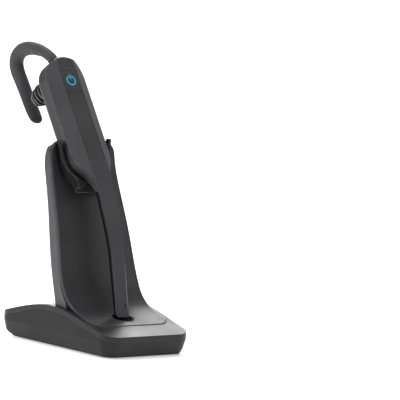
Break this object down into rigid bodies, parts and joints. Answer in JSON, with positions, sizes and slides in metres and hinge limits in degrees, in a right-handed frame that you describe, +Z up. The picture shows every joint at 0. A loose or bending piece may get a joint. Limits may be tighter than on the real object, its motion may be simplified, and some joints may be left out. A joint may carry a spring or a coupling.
{
  "type": "office headset",
  "caption": "Cordless single-ear office headset with ear hook and microphone boom, seated in a desktop charging stand.",
  "frame": {"origin": "middle of the stand's underside, on the plane its feet rest on", "axes": "+Z up, the front faces -Y, X across; the shells are symmetric about the plane X = 0"},
  "size_m": [0.0626, 0.1399, 0.1616],
  "materials": {
    "stand_plastic": "fine spark-eroded texture",
    "stand_plastic_dark": "fine spark-eroded texture",
    "stand_plastic_grey": "fine spark-eroded texture",
    "headset_plastic": "soft-touch matte",
    "strip_satin": "satin",
    "button_plastic": "satin",
    "symbol_blue": "translucent inlay",
    "trim_grey": "satin",
    "boom_black": "matte",
    "key_plastic": "satin",
    "nozzle_plastic": "moulded",
    "component_black": "moulded",
    "circuit_board": "solder mask",
    "battery_foil": "pouch foil",
    "led_white": "clear epoxy",
    "flex_amber": "polyimide film",
    "lead_insulation": "extruded",
    "gilt_contact": "gold plated",
    "zinc_steel": "zinc plated",
    "can_steel": "drawn",
    "spring_steel": "drawn",
    "ballast_steel": "zinc plated",
    "foot_rubber": "moulded",
    "liner_rubber": "moulded",
    "tip_silicone": "soft silicone",
    "hook_elastomer": "soft-touch elastomer"
  },
  "bodies": {
    "stand": {"base_lower_shell": "stand_plastic_dark", "base_upper_shell": "stand_plastic", "base_screws": "zinc_steel", "rubber_pad": "foot_rubber", "ballast_plate": "ballast_steel", "charge_board": "circuit_board", "board_parts": "component_black", "power_jack": "component_black", "boom_socket_liner": "liner_rubber", "tower_front_panel": "stand_plastic", "tower_rear_shell": "stand_plastic_grey", "tower_screws": "zinc_steel", "cradle_insert": "stand_plastic_dark", "contact_block": "component_black", "charge_leads": "lead_insulation"},
    "pin_left": {"contact_pin_left": "gilt_contact"},
    "pin_right": {"contact_pin_right": "gilt_contact"},
    "headset": {"front_shell": "headset_plastic", "centre_strip": "strip_satin", "trim_band": "trim_grey", "rear_shell": "headset_plastic", "boom_back": "boom_black", "mic_capsule": "can_steel", "mic_flex": "flex_amber", "headset_board": "circuit_board", "battery": "battery_foil", "button_dome": "can_steel", "status_led": "led_white", "antenna": "can_steel", "key_switches": "component_black", "headset_screws": "zinc_steel", "charge_pads": "gilt_contact", "speaker_capsule": "can_steel", "ear_nozzle": "nozzle_plastic", "nozzle_mesh": "can_steel", "ear_tip": "tip_silicone"},
    "power_key": {"power_button": "button_plastic", "power_symbol": "symbol_blue"},
    "rocker": {"volume_rocker": "key_plastic"},
    "mute": {"mute_key": "key_plastic"},
    "hook": {"ear_hook_cover": "hook_elastomer", "ear_hook_core": "spring_steel", "hook_pivot": "nozzle_plastic"}
  },
  "joints": [
    {"name": "headset_lift", "type": "slide", "parent": "stand", "child": "headset", "axis": [0, 0.2622, 0.965], "range_m": [0, 0.09]},
    {"name": "pin_left_press", "type": "slide", "parent": "stand", "child": "pin_left", "axis": [0, 0.83, -0.5577], "range_m": [0, 0.0008], "stiffness_N_per_m": 600, "springref_m": -0.0005},
    {"name": "pin_right_press", "type": "slide", "parent": "stand", "child": "pin_right", "axis": [0, 0.83, -0.5577], "range_m": [0, 0.0008], "stiffness_N_per_m": 600, "springref_m": -0.0005},
    {"name": "power_press", "type": "slide", "parent": "headset", "child": "power_key", "axis": [0, 0.83, -0.5577], "range_m": [0, 0.00035], "stiffness_N_per_m": 3000, "springref_m": -0.0002},
    {"name": "volume_rock", "type": "hinge", "parent": "headset", "child": "rocker", "pos_m": [0.0114, 0.03362, 0.12226], "axis": [0, 0.83, -0.5577], "range_deg": [-3, 3], "stiffness_Nm_per_rad": 0.35},
    {"name": "mute_press", "type": "slide", "parent": "headset", "child": "mute", "axis": [-1, 0, 0], "range_m": [0, 0.0003], "stiffness_N_per_m": 3000, "springref_m": -0.0002},
    {"name": "hook_swivel", "type": "hinge", "parent": "headset", "child": "hook", "pos_m": [0, 0.05153, 0.14999], "axis": [0, 0.5577, 0.83], "range_deg": [-70, 70]}
  ]
}
